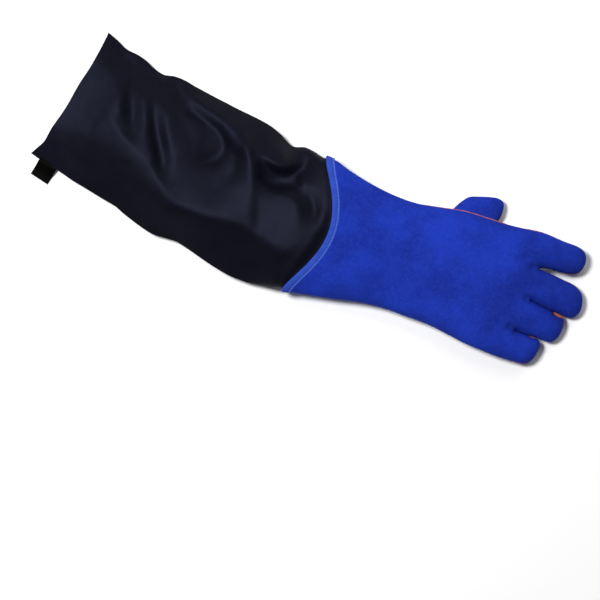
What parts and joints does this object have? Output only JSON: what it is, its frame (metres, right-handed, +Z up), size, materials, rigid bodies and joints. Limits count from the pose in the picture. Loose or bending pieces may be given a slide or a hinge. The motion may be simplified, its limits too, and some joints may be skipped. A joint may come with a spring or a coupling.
{
  "type": "welding gauntlet",
  "caption": "Right-hand welding gauntlet: blue split leather with a golden palm patch, orange welts and a long black cloth arm sleeve, lying palm down.",
  "frame": {"origin": "centre of the bounding box in plan, on the floor that the glove lies on", "axes": "+X from the sleeve's open mouth towards the fingertips, +Y towards the thumb's side, +Z up from the floor"},
  "size_m": [0.6926, 0.2216, 0.059],
  "materials": {
    "sleeve_cloth": "matte",
    "blue_suede": "matte",
    "light_blue_suede": "matte",
    "golden_suede": "matte",
    "orange_welt": "matte"
  },
  "bodies": {
    "root": {"sleeve": "sleeve_cloth", "sleeve_tab": "sleeve_cloth", "cuff_binding": "light_blue_suede", "back_panel": "blue_suede", "cuff_front": "blue_suede", "palm_panel": "blue_suede", "finger_fronts": "blue_suede", "thumb": "blue_suede", "palm_patch": "golden_suede", "seam_welt": "orange_welt", "wrist_welt": "orange_welt"}
  },
  "joints": []
}
